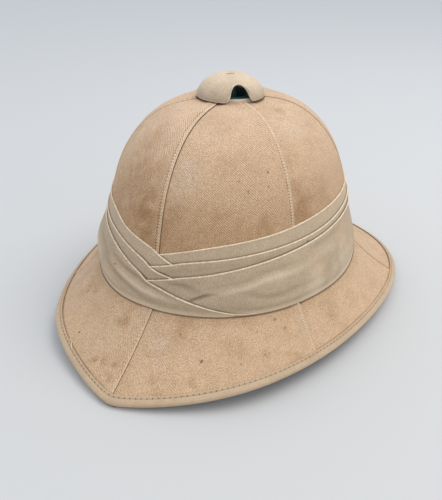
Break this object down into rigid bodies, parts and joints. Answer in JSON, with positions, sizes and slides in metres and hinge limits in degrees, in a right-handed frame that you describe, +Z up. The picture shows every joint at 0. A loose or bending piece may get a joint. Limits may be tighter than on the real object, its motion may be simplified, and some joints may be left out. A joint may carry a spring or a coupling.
{
  "type": "pith helmet",
  "caption": "Sun helmet with a hollow moulded crown and drooping brim, cloth gores, wrapped puggaree band, bound edge and a notched vent cap.",
  "frame": {"origin": "centre of the bounding box's bottom, on the surface the helmet stands on", "axes": "+X to the pointed front peak, +Y to the wearer's left, +Z up through the vent"},
  "size_m": [0.3474, 0.2624, 0.178],
  "materials": {
    "cork": "matte moulded cork",
    "drill_cloth": "worn khaki cotton drill, fine twill weave",
    "puggaree_cloth": "greyer khaki cotton, soft folds",
    "binding_tape": "bias tape, stitched",
    "cap_cloth": "faded khaki cloth",
    "dark_metal": "dark green paint, dull"
  },
  "bodies": {
    "root": {"cork_shell": "cork", "cover_panel_1": "drill_cloth", "cover_panel_2": "drill_cloth", "cover_panel_3": "drill_cloth", "cover_panel_4": "drill_cloth", "cover_panel_5": "drill_cloth", "cover_panel_6": "drill_cloth", "brim_binding": "binding_tape", "puggaree_fold_upper": "puggaree_cloth", "puggaree_fold_middle": "puggaree_cloth", "puggaree_wrap_lower": "puggaree_cloth", "vent_cap": "cap_cloth", "vent_collar": "dark_metal", "vent_post": "dark_metal"}
  },
  "joints": []
}
